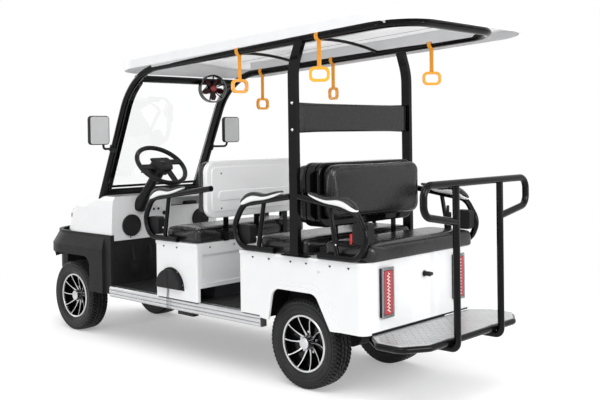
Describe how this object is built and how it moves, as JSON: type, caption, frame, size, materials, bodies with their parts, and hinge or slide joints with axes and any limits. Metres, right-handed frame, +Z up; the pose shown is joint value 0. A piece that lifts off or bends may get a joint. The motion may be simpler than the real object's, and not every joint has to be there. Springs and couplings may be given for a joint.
{
  "type": "golf cart",
  "caption": "Electric golf cart with open sides, front and middle forward seats, a rear-facing bench with a step platform, a white roof on black tubes and road wheels.",
  "frame": {"origin": "on the floor under the middle of the cart's length and width", "axes": "+X to the cart's left side, -Y to its front, +Z up"},
  "size_m": [1.344, 3.7918, 2.0906],
  "materials": {
    "white_panel": "gloss",
    "black_plastic": "satin",
    "grey_liner": "satin",
    "black_paint": "gloss",
    "chassis_paint": "satin",
    "bare_aluminium": "satin",
    "rim_metal": "machined and black",
    "tyre_rubber": "matte",
    "black_vinyl": "satin",
    "glossy_black": "gloss",
    "clear_sheet": "clear",
    "red_lens": "gloss",
    "orange_plastic": "satin",
    "battery_case": "matte"
  },
  "bodies": {
    "chassis": {"chassis_frame": "chassis_paint", "floor_pan": "black_plastic", "side_rails": "bare_aluminium", "front_skirt": "black_plastic", "front_cowl": "white_panel", "dashboard": "white_panel", "headlamps": "clear_sheet", "front_seat_box": "white_panel", "rear_body": "white_panel", "arch_liners": "grey_liner", "battery_pack": "battery_case", "front_cushion": "black_vinyl", "mid_cushion": "black_vinyl", "rear_cushion": "black_vinyl", "backrest_pads": "black_vinyl", "backrest_shells": "glossy_black", "backrest_brackets": "black_paint", "armrest_frames": "black_paint", "armrest_pads": "glossy_black", "belt_units": "black_plastic", "canopy_frame": "black_paint", "rear_pillars": "black_paint", "head_panel": "black_vinyl", "roof_canopy": "white_panel", "windscreen": "clear_sheet", "mirrors": "black_plastic", "hanging_grips": "orange_plastic", "fan_guard": "black_plastic", "steering_column": "black_paint", "pedals": "black_plastic", "platform_plate": "bare_aluminium", "platform_frame": "black_paint", "grab_rail": "black_paint", "tail_lamps": "red_lens", "covers_and_lock": "black_plastic", "front_axle": "chassis_paint", "rear_axle": "chassis_paint", "leaf_springs": "chassis_paint"},
    "left_steering_knuckle": {"left_knuckle": "chassis_paint"},
    "right_steering_knuckle": {"right_knuckle": "chassis_paint"},
    "steering_wheel_body": {"steering_wheel": "glossy_black"},
    "fan_rotor_body": {"fan_rotor": "black_plastic"},
    "front_left_wheel": {"front_left_tyre": "tyre_rubber", "front_left_rim": "rim_metal"},
    "front_right_wheel": {"front_right_tyre": "tyre_rubber", "front_right_rim": "rim_metal"},
    "rear_left_wheel": {"rear_left_tyre": "tyre_rubber", "rear_left_rim": "rim_metal"},
    "rear_right_wheel": {"rear_right_tyre": "tyre_rubber", "rear_right_rim": "rim_metal"}
  },
  "joints": [
    {"name": "left_steer", "type": "hinge", "parent": "chassis", "child": "left_steering_knuckle", "pos_m": [0.28, -1.334, 0.254], "axis": [0, 0, 1], "range_deg": [-25, 25]},
    {"name": "right_steer", "type": "hinge", "parent": "chassis", "child": "right_steering_knuckle", "pos_m": [-0.28, -1.334, 0.254], "axis": [0, 0, 1], "range_deg": [-25, 25]},
    {"name": "steering_wheel_turn", "type": "hinge", "parent": "chassis", "child": "steering_wheel_body", "pos_m": [0.23, -0.512, 1.222], "axis": [0, 0.6691, 0.7431], "range_deg": [-350, 350]},
    {"name": "fan_spin", "type": "hinge", "parent": "chassis", "child": "fan_rotor_body", "pos_m": [-0.172, -0.43, 1.757], "axis": [0.342, 0.9397, 0], "continuous": true},
    {"name": "front_left_spin", "type": "hinge", "parent": "left_steering_knuckle", "child": "front_left_wheel", "pos_m": [0.36, -1.334, 0.254], "axis": [1, 0, 0], "continuous": true},
    {"name": "front_right_spin", "type": "hinge", "parent": "right_steering_knuckle", "child": "front_right_wheel", "pos_m": [-0.36, -1.334, 0.254], "axis": [1, 0, 0], "continuous": true},
    {"name": "rear_left_spin", "type": "hinge", "parent": "chassis", "child": "rear_left_wheel", "pos_m": [0.36, 1, 0.254], "axis": [1, 0, 0], "continuous": true},
    {"name": "rear_right_spin", "type": "hinge", "parent": "chassis", "child": "rear_right_wheel", "pos_m": [-0.36, 1, 0.254], "axis": [1, 0, 0], "continuous": true}
  ],
  "couplings": [
    {"joint": "right_steer", "follows": "left_steer", "ratio": 1},
    {"joint": "steering_wheel_turn", "follows": "left_steer", "ratio": 14}
  ]
}
